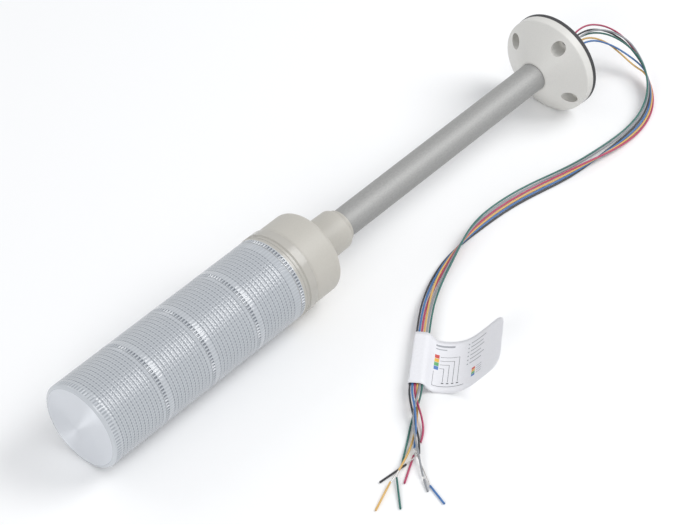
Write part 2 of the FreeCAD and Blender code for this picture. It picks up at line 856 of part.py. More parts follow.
# Leads ------------------------------------------------------------------------------------------
# Six leads leave the pole's foot, turn back in one open loop, run side by side along the floor
# and fan out past their label. Every point is a place in the row frame, in millimetres.

# Middle line of the bundle: x, y, z, then in degrees how far the whole row of leads, its outer
# four and its middle pair are rolled over about their own middles.
BUNDLE = (
    (293.5, -37.0, 9.2, 75, 180, 0),
    (283.0, -49.0, 6.8, 60, 180, 0),
    (269.5, -58.2, 5.0, 45, 180, 0),
    (253.5, -64.0, 4.0, 35, 178, 0),
    (236.0, -66.0, 3.4, 25, 172, 0),
    (218.0, -65.2, 3.3, 16, 152, 0),
    (200.5, -63.5, 3.6, 8, 120, 0),
    (183.5, -61.2, 3.9, 5, 80, 0),
    (166.5, -57.6, 3.6, 18, 40, 0),
    (149.0, -53.0, 3.4, 33, 12, 0),
    (131.0, -49.4, 3.6, 44, 0, 0),
    (113.0, -47.5, 3.9, 50, 0, 0),
    (96.0, -47.4, 4.4, 62, 0, 0),
    (80.0, -48.8, 4.8, 88, 0, 0),
    (65.0, -51.3, 4.7, 122, 0, 0),
    (51.0, -54.8, 4.2, 148, 0, 8),
    (37.0, -59.2, 3.9, 163, 0, 44),
    (23.5, -64.6, 4.0, 172, 0, 96),
    (10.5, -71.2, 4.9, 177, 0, 144),
    (-1.5, -78.6, 5.9, 180, 0, 174),
    (-13.5, -86.8, 6.2, 180, 0, 180),
    (-27.5, -96.4, 6.4, 180, 0, 180),
    (-42.0, -106.4, 6.2, 180, 0, 180),
    (-53.5, -114.3, 6.3, 180, 0, 180),
)

# Each lead's seat in the row, counted in pitches from the row's middle to its inner side.
SEATS = {"green": 2.5, "grey": 1.5, "red": 0.5, "yellow": -0.5, "blue": -1.5, "black": -2.5}
FOUR_MIDDLE = -1.0
FOUR = ("red", "yellow", "blue", "black")
PAIR_MIDDLE = 0.0
PAIR = ("red", "yellow")

# Turn of each lead's place in the pole's mouth, in degrees from the top towards +Y.
EXIT_TURN = {"red": 0, "black": 60, "green": 120, "yellow": 180, "blue": 240, "grey": 300}

LOOPS = {
    "red": ((251, 2.6, 38.6), (268, 7.2, 38.0), (283.5, 7.0, 35.0), (295, -1.5, 30.0),
            (301, -13.5, 21.5), (299.5, -27, 12.0)),
    "black": ((251, 3.2, 37.2), (267, 5.2, 36.2), (281, 3.6, 33.8), (292.5, -3.2, 28.2),
              (299.2, -14, 20.2), (298.4, -26, 13.2)),
    "green": ((251, 3.2, 34.6), (266.5, 4.2, 34.2), (280, 2.2, 31.8), (290.5, -4.6, 27.6),
              (297, -14.8, 21.2), (297, -26, 16.4)),
    "yellow": ((250, 1.0, 33.0), (265, 3.0, 32.4), (277, 1.6, 29.8), (286, -6.2, 24.2),
               (290.2, -17, 16.2), (292.5, -27.5, 9.2)),
    "blue": ((250, -1.8, 34.2), (265, -0.8, 32.8), (277.5, -3.4, 29.2), (287.5, -11.4, 22.4),
             (293.2, -20.4, 15.6), (296.4, -29.5, 9.8)),
    "grey": ((251, -0.2, 36.8), (267, 2.4, 36.6), (281.5, 1.4, 33.9), (293, -5.6, 29.4),
             (299.6, -16.4, 22.6), (298.6, -27.2, 15.2)),
}

FANS = {
    "green": ((-59, -122.2, 3.4), (-67.5, -125.6, 1.3), (-76.5, -129.6, 0.8),
              (-87.5, -136.6, 0.8), (-98.5, -143.2, 1.4), (-109, -149.4, 2.3)),
    "yellow": ((-60.1, -120.6, 4.9), (-65.6, -125.8, 3.6), (-73, -131.4, 1.3),
               (-83.5, -138, 0.8), (-94.5, -144, 1.9), (-105, -148.6, 3.7), (-114, -151.6, 4.2)),
    "black": ((-62.8, -116.6, 6), (-70.2, -125.3, 3.8), (-77.8, -134.6, 2.8), (-85.6, -144, 2.5),
              (-94.6, -151.4, 3.2)),
    "red": ((-60.8, -119.6, 6.3), (-65.4, -126.1, 5.3), (-71.2, -134.5, 2.9),
            (-78.4, -141.4, 0.9), (-85.4, -144.8, 0.8)),
    "blue": ((-62.2, -118.4, 7.7), (-69.4, -126.5, 8.5), (-76.9, -134, 5), (-84.4, -139.9, 3),
             (-92.6, -145.8, 2.4)),
    "grey": ((-60.3, -121.2, 7.6), (-69.6, -126.2, 6.5), (-78.6, -133, 5), (-86.8, -141.4, 4.2),
             (-94.6, -150.4, 4.8), (-101.4, -158.2, 2.8), (-106.6, -164.4, 1.7)),
}

# Where each cut piece of insulation lies past the bared conductor: its near and far end.
SLEEVES = {
    "green": ((-118, -153.2, 1.9), (-135, -170.6, 0.7)),
    "yellow": ((-123.4, -152.8, 2.2), (-145.6, -160.2, 0.7)),
    "black": ((-105, -149.9, 0.9), (-126.8, -147.3, 0.7)),
    "red": ((-96.2, -148.4, 0.7), (-117.6, -159, 0.7)),
    "blue": ((-108.9, -171.8, 0.7), (-114.6, -187.8, 0.7)),
    "grey": ((-108, -166.2, 1.4), (-113.4, -173.9, 0.7)),
}


def row_place(colour, station):
    """A lead's place where the bundle passes one station."""
    index = BUNDLE.index(station)
    before = BUNDLE[max(index - 1, 0)]
    after = BUNDLE[min(index + 1, len(BUNDLE) - 1)]
    heading = math.atan2(after[1] - before[1], after[0] - before[0])
    inner_side = FreeCAD.Vector(math.sin(heading), -math.cos(heading), 0)
    upwards = FreeCAD.Vector(0, 0, 1)
    x, y, z, roll, roll_four, roll_pair = station
    pitch = size("lead_pitch").value
    seat = complex(SEATS[colour], 0)
    if colour in PAIR:
        seat = PAIR_MIDDLE + (seat - PAIR_MIDDLE) * turn(roll_pair)
    if colour in FOUR:
        seat = FOUR_MIDDLE + (seat - FOUR_MIDDLE) * turn(roll_four)
    seat = seat * turn(roll) * pitch
    return FreeCAD.Vector(x, y, z) + inner_side * seat.real + upwards * seat.imag


def turn(degrees):
    angle = math.radians(degrees)
    return complex(math.cos(angle), math.sin(angle))


def exit_place(colour, height):
    """A lead's place in the pole's mouth, at a height above the panel face."""
    angle = math.radians(EXIT_TURN[colour])
    radius = size("exit_circle_radius").value
    return LAID_DOWN.multVec(FreeCAD.Vector(radius * math.cos(angle), radius * math.sin(angle),
                                            height))


def lead_route(colour):
    route = [exit_place(colour, 0.0)]
    route += [FreeCAD.Vector(*point) for point in LOOPS[colour]]
    route += [row_place(colour, station) for station in BUNDLE]
    route += [FreeCAD.Vector(*point) for point in FANS[colour]]
    return route


def rounded_path(route, share=0.45):
    """Straight runs joined by tangent arcs, with the radius of each arc."""
    edges = []
    radii = []
    start = route[0]
    for before, corner, after in zip(route, route[1:], route[2:]):
        back = before - corner
        ahead = after - corner
        reach = share * min(back.Length, ahead.Length)
        turned_by = math.pi - back.getAngle(ahead)
        radii.append(reach / math.tan(turned_by / 2))
        back.normalize()
        ahead.normalize()
        middle = back + ahead
        middle.normalize()
        first = corner + back * reach
        last = corner + ahead * reach
        bulge = radii[-1] / math.cos(turned_by / 2) - radii[-1]
        edges.append(Part.LineSegment(start, first).toShape())
        edges.append(Part.Arc(first, corner + middle * bulge, last).toShape())
        start = last
    edges.append(Part.LineSegment(start, route[-1]).toShape())
    return Part.Wire(edges), radii


def tube(path, start, towards, diameter):
    section = Part.Wire(Part.makeCircle(diameter / 2, start, towards - start))
    return path.makePipeShell([section], True, True, 1)


def make_lead(colour):
    route = lead_route(colour)
    path, radii = rounded_path(route)
    diameter = size("lead_diameter").value
    solid = tube(path, route[0], route[1], diameter)
    section = math.pi * diameter ** 2 / 4
    print("lead_%s length %.1f mm, least radius %.1f mm, volume ratio %.4f"
          % (colour, path.Length, min(radii), solid.Volume / (section * path.Length)))
    lead = doc.addObject("Part::Feature", "lead_" + colour)
    lead.Shape = solid
    keep(lead, "lead_" + colour, laid=False)


def straight_rod(start, end, diameter, start_gap=0.0, end_gap=0.0):
    along = end - start
    length = along.Length - start_gap - end_gap
    along.normalize()
    return Part.makeCylinder(diameter / 2, length, start + along * start_gap, along)


def make_lead_ends():
    """The bared conductors, then the pieces of insulation left on their tips."""
    wire = size("conductor_diameter").value
    diameter = size("lead_diameter").value
    gap = size("lead_end_gap").value
    bared = []
    for colour, (near, far) in SLEEVES.items():
        near = FreeCAD.Vector(*near)
        far = FreeCAD.Vector(*far)
        bared.append(straight_rod(lead_route(colour)[-1], near, wire, gap, gap))
        sleeve = doc.addObject("Part::Feature", "lead_tip_" + colour)
        sleeve.Shape = straight_rod(near, far, diameter)
        keep(sleeve, "lead_tip_" + colour, laid=False)
    conductors = doc.addObject("Part::Feature", "bared_conductors")
    conductors.Shape = Part.makeCompound(bared)
    keep(conductors, "bared_conductors", laid=False)


def make_inner_leads():
    """The same six leads inside the pole, from its mouth to the terminal block."""
    radius = size("exit_circle_radius")
    straight = cylinder("inner_lead", size("lead_diameter") / 2,
                        control_board_bottom - size("terminal_height") - size("lead_end_gap"),
                        size("lead_end_gap"), radius)
    keep(together("inner_leads", *around("inner_lead_set", straight,
                                          Size(len(SEATS), "%d" % len(SEATS)))),
         "inner_leads")


# The label: a film folded round the bundle and stuck back to back, whose free end curls up.
# Its curve across the bundle: distance out from the bundle's middle, height above the floor.
LABEL_CURVE = ((4.75, 5.45), (5.7, 3.5), (7.4, 1.7), (10.4, 0.6), (15.0, 0.35), (21.5, 1.0),
               (28.5, 4.0), (34.5, 9.4), (41.0, 17.2), (46.6, 24.4), (51.2, 30.4))
LABEL_START = (-15.0, -87.8)
LABEL_HEADING = (-0.8241, -0.5664)


def make_label():
    thickness = size("label_thickness").value
    along = FreeCAD.Vector(LABEL_HEADING[0], LABEL_HEADING[1], 0)
    along.normalize()
    outwards = FreeCAD.Vector(-along.y, along.x, 0)
    start = FreeCAD.Vector(LABEL_START[0], LABEL_START[1], 0)
    middle_height = size("wrap_middle_height").value

    def place(out, height):
        return start + outwards * out + FreeCAD.Vector(0, 0, height)

    def band(width, height):
        """A flat oval across the bundle."""
        half = (width - height) / 2
        radius = height / 2
        low = middle_height - radius
        high = middle_height + radius
        return Part.Wire([
            Part.LineSegment(place(-half, high), place(half, high)).toShape(),
            Part.Arc(place(half, high), place(half + radius, middle_height),
                     place(half, low)).toShape(),
            Part.LineSegment(place(half, low), place(-half, low)).toShape(),
            Part.Arc(place(-half, low), place(-half - radius, middle_height),
                     place(-half, high)).toShape(),
        ])

    inner_width = size("wrap_inner_width").value
    inner_height = size("wrap_inner_height").value
    wrap_face = Part.Face([band(inner_width + 2 * thickness, inner_height + 2 * thickness),
                           band(inner_width, inner_height)])
    lower = Part.BSplineCurve()
    lower.interpolate([place(*point) for point in LABEL_CURVE])
    upper = Part.BSplineCurve()
    upper.interpolate([place(*raised) for raised in raised_curve(LABEL_CURVE, thickness)])
    ends = (Part.LineSegment(lower.StartPoint, upper.StartPoint).toShape(),
            Part.LineSegment(upper.EndPoint, lower.EndPoint).toShape())
    flag_face = Part.Face(Part.Wire([lower.toShape(), ends[1], upper.toShape(), ends[0]]))
    length = size("label_length").value
    flag = flag_face.extrude(along * length)
    corners = [number for number, edge in enumerate(flag.Edges)
               if abs(edge.Length - thickness) < 0.05
               and (edge.CenterOfMass - start).dot(outwards) > LABEL_CURVE[-2][0]]
    flag = flag.makeFillet(size("label_corner_radius").value,
                           [flag.Edges[number] for number in corners])
    label = doc.addObject("Part::Feature", "lead_label")
    label.Shape = wrap_face.extrude(along * length).fuse(flag).removeSplitter()
    keep(label, "lead_label", laid=False)


def raised_curve(curve, thickness):
    """The same curve, one film thickness to its upper side."""
    raised = []
    for index, (out, height) in enumerate(curve):
        before = curve[max(index - 1, 0)]
        after = curve[min(index + 1, len(curve) - 1)]
        run = math.hypot(after[0] - before[0], after[1] - before[1])
        raised.append((out - (after[1] - before[1]) / run * thickness,
                       height + (after[0] - before[0]) / run * thickness))
    return raised


# Build ------------------------------------------------------------------------------------------

make_gasket()
make_flange()
make_pole()
make_ring_nut("flange_nut", nut_bottom, size("lock_nut_height"))
make_ring_nut("pole_nut", boss_top, size("pole_nut_height"))
make_housing()
make_control_board()
make_base_ring()
for tier in range(1, 5):
    make_lens(tier)
make_light_column()
make_inner_leads()
for lead_colour in SEATS:
    make_lead(lead_colour)
make_lead_ends()
make_label()
doc.recompute()

for item in doc.Objects:
    if "Invalid" in item.State or "Error" in item.State:
        raise RuntimeError("%s failed: %s" % (item.Name, item.State))
for part in PARTS:
    if part.Shape.isNull() or not part.Shape.isValid():
        raise RuntimeError("%s has no valid shape" % part.Label)

os.makedirs("parts", exist_ok=True)
for part in PARTS:
    part.Shape.exportStep("parts/%s.step" % part.Label)
print("%d pieces" % len(PARTS))
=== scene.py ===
"""Looks of a clear four-tier signal tower that lies on its side with its flying leads.

Everything is in metres in the CAD's row frame. Lamp measures are written in millimetres along and
about the lamp's own axis, counted from the panel face of its flange, and lamp() turns them into places.
"""
import json
import math

import bpy
from mathutils import Matrix, Vector


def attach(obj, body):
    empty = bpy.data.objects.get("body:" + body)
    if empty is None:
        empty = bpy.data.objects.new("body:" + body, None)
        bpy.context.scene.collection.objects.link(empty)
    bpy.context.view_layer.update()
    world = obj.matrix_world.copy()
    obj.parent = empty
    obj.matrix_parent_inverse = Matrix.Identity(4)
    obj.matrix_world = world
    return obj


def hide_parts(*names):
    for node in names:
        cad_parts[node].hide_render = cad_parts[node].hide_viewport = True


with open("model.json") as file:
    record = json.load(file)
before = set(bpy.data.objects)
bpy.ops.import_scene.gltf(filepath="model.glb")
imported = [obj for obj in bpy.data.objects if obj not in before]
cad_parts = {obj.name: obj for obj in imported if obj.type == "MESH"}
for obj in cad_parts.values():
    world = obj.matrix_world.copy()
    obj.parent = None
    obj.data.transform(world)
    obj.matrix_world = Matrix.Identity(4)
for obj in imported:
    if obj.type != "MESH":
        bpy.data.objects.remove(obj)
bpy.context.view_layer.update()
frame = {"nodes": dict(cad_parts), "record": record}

MM = 0.001


# Places -----------------------------------------------------------------------------------------

flange_mount = next(m for m in frame["record"]["mounts"] if m["name"] == "panel_bolts")
FACE = Vector(flange_mount["pos_m"])
ALONG = -Vector(flange_mount["axis"])
SIDE = Vector((0, 1, 0))
UP = SIDE.cross(ALONG)


def lamp(radius, angle, height):
    """Place at a radius and height on the lamp, in mm, with the angle in radians from its top."""
    return (FACE + (UP * math.cos(angle) + SIDE * math.sin(angle)) * (radius * MM)
            + ALONG * (height * MM))


# Heights and radii of the lamp, in mm
LENS_RADIUS = 30.0
LENS_BORE = 28.0
COLLAR_RADIUS = 27.7
COLLAR_BORE = 25.9
SEAMS = (299.1, 339.9, 380.7, 421.5)
LENS_TOP = 465.2


# Camera, floor and light ------------------------------------------------------------------------

CAMERA_TARGET = Vector((0.0083, -0.0061, 0.0025))
CAMERA_DISTANCE = 1.702
CAMERA_AZIMUTH = -48.99
CAMERA_ELEVATION = 42.38
CAMERA_LENS = 133.1
CAMERA_SENSOR = 36.0

# Name, place, what it points at, width and height in metres, and watts of each lamp
LIGHTS = (
    ("softbox", (0.95, -0.7, 1.25), (0, 0, 0), (1.0, 1.0), 16.0),
    ("end_light", (-1.45, -0.5, 0.75), (0, 0, 0.03), (0.8, 0.6), 8.5),
    ("back_fill", (-0.2, 1.5, 1.1), (0, 0, 0), (1.4, 0.8), 4.0),
)
AMBIENT_COLOUR = (0.95, 0.97, 1.0)
AMBIENT_STRENGTH = 0.54
FLOOR_HALF = 6.0


def make_camera():
    data = bpy.data.cameras.new("camera")
    data.lens = CAMERA_LENS
    data.sensor_width = CAMERA_SENSOR
    data.clip_end = 20.0
    camera = bpy.data.objects.new("camera", data)
    bpy.context.scene.collection.objects.link(camera)
    turn = Matrix.Rotation(math.radians(CAMERA_AZIMUTH), 4, "Z")
    tip = Matrix.Rotation(math.radians(90 - CAMERA_ELEVATION), 4, "X")
    aim = turn @ tip
    back = aim.to_3x3() @ Vector((0, 0, 1))
    camera.matrix_world = Matrix.Translation(CAMERA_TARGET + back * CAMERA_DISTANCE) @ aim
    bpy.context.scene.camera = camera


def area_light(name, place, aim, size, power):
    data = bpy.data.lights.new(name, "AREA")
    data.shape = "RECTANGLE"
    data.size, data.size_y = size
    data.energy = power
    light = bpy.data.objects.new(name, data)
    bpy.context.scene.collection.objects.link(light)
    light.location = place
    light.rotation_euler = (Vector(aim) - Vector(place)).to_track_quat("-Z", "Y").to_euler()


def make_lights():
    for light in LIGHTS:
        area_light(*light)


def make_world():
    """Soft light from all round, and plain white wherever the surroundings are seen."""
    world = bpy.data.worlds.new("studio")
    world.use_nodes = True
    bpy.context.scene.world = world
    nodes, links = world.node_tree.nodes, world.node_tree.links
    nodes.clear()
    output = nodes.new("ShaderNodeOutputWorld")
    mix = nodes.new("ShaderNodeMixShader")
    ambient = nodes.new("ShaderNodeBackground")
    ambient.inputs["Color"].default_value = (*AMBIENT_COLOUR, 1)
    ambient.inputs["Strength"].default_value = AMBIENT_STRENGTH
    seen = nodes.new("ShaderNodeBackground")
    seen.inputs["Color"].default_value = (1, 1, 1, 1)
    seen.inputs["Strength"].default_value = 1.0
    links.new(seen_by_eye(nodes, links), mix.inputs["Fac"])
    links.new(ambient.outputs["Background"], mix.inputs[1])
    links.new(seen.outputs["Background"], mix.inputs[2])
    links.new(mix.outputs["Shader"], output.inputs["Surface"])


def seen_by_eye(nodes, links):
    """One for rays that show the surroundings: straight, reflected or through a clear part."""
    path = nodes.new("ShaderNodeLightPath")
    either = nodes.new("ShaderNodeMath")
    either.operation = "MAXIMUM"
    any_of = nodes.new("ShaderNodeMath")
    any_of.operation = "MAXIMUM"
    links.new(path.outputs["Is Camera Ray"], either.inputs[0])
    links.new(path.outputs["Is Glossy Ray"], either.inputs[1])
    links.new(either.outputs["Value"], any_of.inputs[0])
    links.new(path.outputs["Is Transmission Ray"], any_of.inputs[1])
    return any_of.outputs["Value"]


def make_floor():
    mesh = bpy.data.meshes.new("floor")
    corners = [(x * FLOOR_HALF, y * FLOOR_HALF, 0) for x, y in ((-1, -1), (1, -1), (1, 1), (-1, 1))]
    mesh.from_pydata(corners, [], [(0, 1, 2, 3)])
    floor = bpy.data.objects.new("floor", mesh)
    bpy.context.scene.collection.objects.link(floor)
    material = principled("floor_paper", (0.97, 0.97, 0.97), roughness=0.95, specular=0.0)
    mesh.materials.append(material)


# Materials --------------------------------------------------------------------------------------

# Mesh value of the lens pieces: how far down a point lies in a groove or between two teeth, 0 to 1
# It sets how much painted shade darkens the lens colour at that point.
GROOVE_DEPTH = "groove_depth"
GRAIN_DETAIL = 4.0
GRAIN_HEIGHT = 0.1 * MM


def principled(name, colour, roughness=0.5, metallic=0.0, specular=0.5, coat=0.0, alpha=1.0):
    material = bpy.data.materials.new(name)
    material.use_nodes = True
    shader = material.node_tree.nodes["Principled BSDF"]
    shader.inputs["Base Color"].default_value = (*colour, 1)
    shader.inputs["Roughness"].default_value = roughness
    shader.inputs["Metallic"].default_value = metallic
    shader.inputs["Specular IOR Level"].default_value = specular
    shader.inputs["Coat Weight"].default_value = coat
    shader.inputs["Alpha"].default_value = alpha
    return material


def add_grain(material, scale, colour_spread=0.0, roughness_spread=0.0, bump=0.0, stretch=(1, 1, 1)):
    """Fine noise in a material's colour, roughness and height, sized in the object's metres."""
    nodes, links = material.node_tree.nodes, material.node_tree.links
    shader = nodes["Principled BSDF"]
    place = nodes.new("ShaderNodeTexCoord")
    mapping = nodes.new("ShaderNodeMapping")
    mapping.inputs["Scale"].default_value = stretch
    noise = nodes.new("ShaderNodeTexNoise")
    noise.inputs["Scale"].default_value = scale
    noise.inputs["Detail"].default_value = GRAIN_DETAIL
    links.new(place.outputs["Object"], mapping.inputs["Vector"])
    links.new(mapping.outputs["Vector"], noise.inputs["Vector"])
    if colour_spread:
        base = list(shader.inputs["Base Color"].default_value)[:3]
        ramp = nodes.new("ShaderNodeValToRGB")
        ramp.color_ramp.elements[0].position = 0.3
        ramp.color_ramp.elements[1].position = 0.7
        ramp.color_ramp.elements[0].color = (*[c * (1 - colour_spread) for c in base], 1)
        ramp.color_ramp.elements[1].color = (*[min(c * (1 + colour_spread), 1) for c in base], 1)
        links.new(noise.outputs["Fac"], ramp.inputs["Fac"])
        links.new(ramp.outputs["Color"], shader.inputs["Base Color"])
    if roughness_spread:
        middle = shader.inputs["Roughness"].default_value
        spread = nodes.new("ShaderNodeMapRange")
        spread.inputs["To Min"].default_value = max(middle - roughness_spread, 0)
        spread.inputs["To Max"].default_value = min(middle + roughness_spread, 1)
        links.new(noise.outputs["Fac"], spread.inputs["Value"])
        links.new(spread.outputs["Result"], shader.inputs["Roughness"])
    if bump:
        height = nodes.new("ShaderNodeBump")
        height.inputs["Strength"].default_value = bump
        height.inputs["Distance"].default_value = GRAIN_HEIGHT
        links.new(noise.outputs["Fac"], height.inputs["Height"])
        links.new(height.outputs["Normal"], shader.inputs["Normal"])
    return material


def add_painted_groove_shade(material, painted_shade_colour):
    """Painted shade: darker colour towards the floor of the moulded grooves, from the mesh's own depth
    values.
    """
    nodes, links = material.node_tree.nodes, material.node_tree.links
    shader = nodes["Principled BSDF"]
    depth = nodes.new("ShaderNodeAttribute")
    depth.attribute_name = GROOVE_DEPTH
    mix = nodes.new("ShaderNodeMix")
    mix.data_type = "RGBA"
    mix.inputs["A"].default_value = shader.inputs["Base Color"].default_value
    mix.inputs["B"].default_value = (*painted_shade_colour, 1)
    links.new(depth.outputs["Fac"], mix.inputs["Factor"])
    links.new(mix.outputs["Result"], shader.inputs["Base Color"])
    return material


def add_turned_rings(material):
    """Fine rings about the lamp's axis, which draw a highlight out from the middle of the cap."""
    nodes, links = material.node_tree.nodes, material.node_tree.links
    shader = nodes["Principled BSDF"]
    around = nodes.new("ShaderNodeTangent")
    around.direction_type = "RADIAL"
    around.axis = "X"
    shader.inputs["Anisotropic"].default_value = 0.9
    shader.inputs["Anisotropic Rotation"].default_value = 0.25
    links.new(around.outputs["Tangent"], shader.inputs["Tangent"])


def make_materials():
    made = {}
    made["housing"] = add_grain(
        principled("housing_beige", (0.505, 0.485, 0.44), roughness=0.45, specular=0.4),
        900, colour_spread=0.02, roughness_spread=0.05, bump=0.12)
    made["flange"] = add_grain(
        principled("flange_grey", (0.655, 0.645, 0.615), roughness=0.42),
        1100, colour_spread=0.02, roughness_spread=0.06, bump=0.2)
    made["pole"] = add_grain(
        principled("anodised_aluminium", (0.325, 0.325, 0.32), roughness=0.6, metallic=0.5),
        1100, colour_spread=0.08, roughness_spread=0.06, bump=0.5, stretch=(0.5, 1, 1))
    made["gasket"] = add_grain(
        principled("black_rubber", (0.035, 0.035, 0.038), roughness=0.7),
        1500, colour_spread=0.1, bump=0.4)
    made["zinc"] = add_grain(
        principled("zinc_steel", (0.6, 0.6, 0.58), roughness=0.35, metallic=1.0),
        2000, colour_spread=0.08, roughness_spread=0.1, bump=0.2)
    made["board"] = add_grain(
        principled("circuit_board", (0.03, 0.18, 0.08), roughness=0.35, coat=0.3),
        1800, colour_spread=0.2, bump=0.1)
    made["black_plastic"] = add_grain(
        principled("black_plastic", (0.03, 0.03, 0.032), roughness=0.45), 1500,
        colour_spread=0.15, bump=0.2)
    made["white_plastic"] = add_grain(
        principled("white_plastic", (0.82, 0.83, 0.85), roughness=0.3), 1200,
        colour_spread=0.02, bump=0.05)
    made["led"] = add_grain(
        principled("led_white", (0.85, 0.82, 0.6), roughness=0.25, coat=0.5), 3000,
        colour_spread=0.06)
    made["seal"] = add_grain(
        principled("seal_grey", (0.3, 0.3, 0.31), roughness=0.65), 2000, colour_spread=0.08,
        bump=0.3)
    # Lens colour, with painted shade darkening it in its grooves and between its teeth.
    made["lens"] = add_painted_groove_shade(
        principled("clear_lens", (0.5, 0.525, 0.555), roughness=0.16, coat=0.5),
        (0.2, 0.22, 0.25))
    made["cap"] = principled("clear_cap", (0.68, 0.7, 0.735), roughness=0.42, metallic=0.5)
    add_turned_rings(made["cap"])
    made["skirt"] = principled("clear_skirt", (0.55, 0.53, 0.485), roughness=0.24, coat=0.2,
                               alpha=0.8)
    return made


# Meshes -----------------------------------------------------------------------------------------

def mesh_piece(name, points, faces, material, sharp=30.0):
    mesh = bpy.data.meshes.new(name)
    mesh.from_pydata(points, [], faces)
    mesh.materials.append(material)
    mesh.shade_smooth()
    mesh.set_sharp_from_angle(angle=math.radians(sharp))
    piece = bpy.data.objects.new(name, mesh)
    bpy.context.scene.collection.objects.link(piece)
    return piece


TEETH = 84
SEGMENTS = 336
PER_TOOTH = SEGMENTS // TEETH


def revolved(name, rows, material):
    """A closed ring from rows of (radius, height, radial change at each segment or None)."""
    points, faces, rings, depths = [], [], [], []
    for radius, height, change in rows:
        if radius == 0:
            rings.append([len(points)] * SEGMENTS)
            points.append(lamp(0, 0, height))
            depths.append(0.0)
            continue
        rings.append(list(range(len(points), len(points) + SEGMENTS)))
        for index in range(SEGMENTS):
            here = radius + (change(index) if change else 0)
            points.append(lamp(here, 2 * math.pi * index / SEGMENTS, height))
            depths.append(min(max(LENS_RADIUS - here, 0) / GRIP_DEPTH, 1) if change else 0.0)
    for lower, upper in zip(rings, rings[1:] + rings[:1]):
        for index in range(SEGMENTS):
            after = (index + 1) % SEGMENTS
            face = [lower[index], lower[after], upper[after], upper[index]]
            unique = [v for k, v in enumerate(face) if v not in face[:k]]
            if len(unique) > 2:
                faces.append(unique)
    piece = mesh_piece(name, points, faces, material)
    values = piece.data.attributes.new(GROOVE_DEPTH, "FLOAT", "POINT")
    values.data.foreach_set("value", depths)
    return piece


def paint_rows(piece, material, first, last):
    """Give the faces between two rows of a piece of revolution another material."""
    piece.data.materials.append(material)
    for polygon in piece.data.polygons[first * SEGMENTS:last * SEGMENTS]:
        polygon.material_index = len(piece.data.materials) - 1


# Lens tiers -------------------------------------------------------------------------------------

RIB_PITCH = 3.04
RIB_DEPTH = 0.3
GROOVE_FLOOR = 0.12
FINE_DEPTH = 0.3
GROOVE_SHARE = 0.7
FLUTE_DEPTH = 0.18
GRIP_DEPTH = 0.6
FIRST_RIB_START = 4.8
RIB_START = 1.4
RIB_END = 5.5
TOP_RIB_END = 5.7
GRIP_HEIGHT = 2.8
TOP_GRIP_HEIGHT = 4.9
GRIP_MARGIN = 0.3
TOP_GRIP_SHARE = 0.55
TOOTH_EDGE = 0.05
SEAM_GAP = 0.3
COLLAR_HEIGHT = 7.0
COLLAR_ROOT = 2.0
COLLAR_TAPER = 3.8
TOP_EDGE = 1.6

# Radius and height above the top tier's rim of its rounded edge, of its cone and of its inside
TOP_ROUND = ((29.9, -1.1), (29.4, -0.55), (28.6, -0.15), (27.9, -0.02), (27.7, 0.14))
TOP_CONE = ((27.4, 0.14), (27.2, 0.02), (20.0, 0.72), (10.0, 1.66), (3.0, 2.35), (0, 2.5))
TOP_INSIDE = ((0, 0.6), (LENS_BORE, -2.6))

# The clear ring under the tiers: its skirt with two beads, then teeth and a collar like a tier's
SKIRT_BOTTOM = 284.0
SKIRT_RADIUS = 30.3
SKIRT_HEIGHT = 6.0
SKIRT_LAND = 29.9
BEADS = (6.6, 9.0)
BEAD_RADIUS = 30.35
BEAD_WIDTH = 0.7
TEETH_START = 3.4
RING_COLLAR_ROOT = 2.4
RING_TEETH_ROWS = 5


def flute(index):
    """Fine axial flutes, one to each tooth of the grip bands."""
    return -FLUTE_DEPTH * (0.0, 0.6, 1.0, 0.6)[index % PER_TOOTH]


def dimple(index):
    """The floor of a broken groove: a row of dimples, one to each flute."""
    return flute(index) - RIB_DEPTH * (0.35, 0.8, 1.0, 0.8)[index % PER_TOOTH]


def small_dimple(index):
    """The floor of the finer row between two grooves, out of step with them."""
    return flute(index) - FINE_DEPTH * (1.0, 0.6, 0.2, 0.6)[index % PER_TOOTH]


def notch(index):
    """Square teeth of a grip band, as wide as the gaps between them."""
    return -GRIP_DEPTH if index % PER_TOOTH >= PER_TOOTH / 2 else 0.0


def soft_notch(index):
    """The shallower teeth round the top of the last tier."""
    return notch(index) * TOP_GRIP_SHARE


def rib_rows(bottom, top):
    """Rows of dimples at each rib groove, with a finer row along the middle of each land."""
    rows = []
    count = int((top - bottom) / RIB_PITCH)
    half = GROOVE_SHARE * RIB_PITCH / 4
    for index in range(count):
        middle = bottom + (index + 0.5) * RIB_PITCH
        rows += [(LENS_RADIUS, middle - half, flute), (LENS_RADIUS - GROOVE_FLOOR, middle, dimple),
                 (LENS_RADIUS, middle + half, flute)]
        if index < count - 1:
            land = middle + RIB_PITCH / 2
            rows += [(LENS_RADIUS, land - half, flute), (LENS_RADIUS, land, small_dimple),
                     (LENS_RADIUS, land + half, flute)]
    return rows


def grip_rows(bottom, top, teeth=notch):
    """A band of teeth with a short step at each end."""
    return [(LENS_RADIUS, bottom, flute), (LENS_RADIUS, bottom + TOOTH_EDGE, teeth),
            (LENS_RADIUS, top - TOOTH_EDGE, teeth), (LENS_RADIUS, top, None)]


def plain_rows(profile, base):
    """Smooth rows from (radius, height above the base)."""
    return [(radius, base + height, None) for radius, height in profile]


def collar_rows(seam, root):
    """The collar above a seam, from its foot outside to its root inside."""
    return plain_rows(((COLLAR_RADIUS, 0), (COLLAR_RADIUS, COLLAR_HEIGHT),
                       (COLLAR_BORE, COLLAR_HEIGHT), (COLLAR_BORE, -root)), seam)


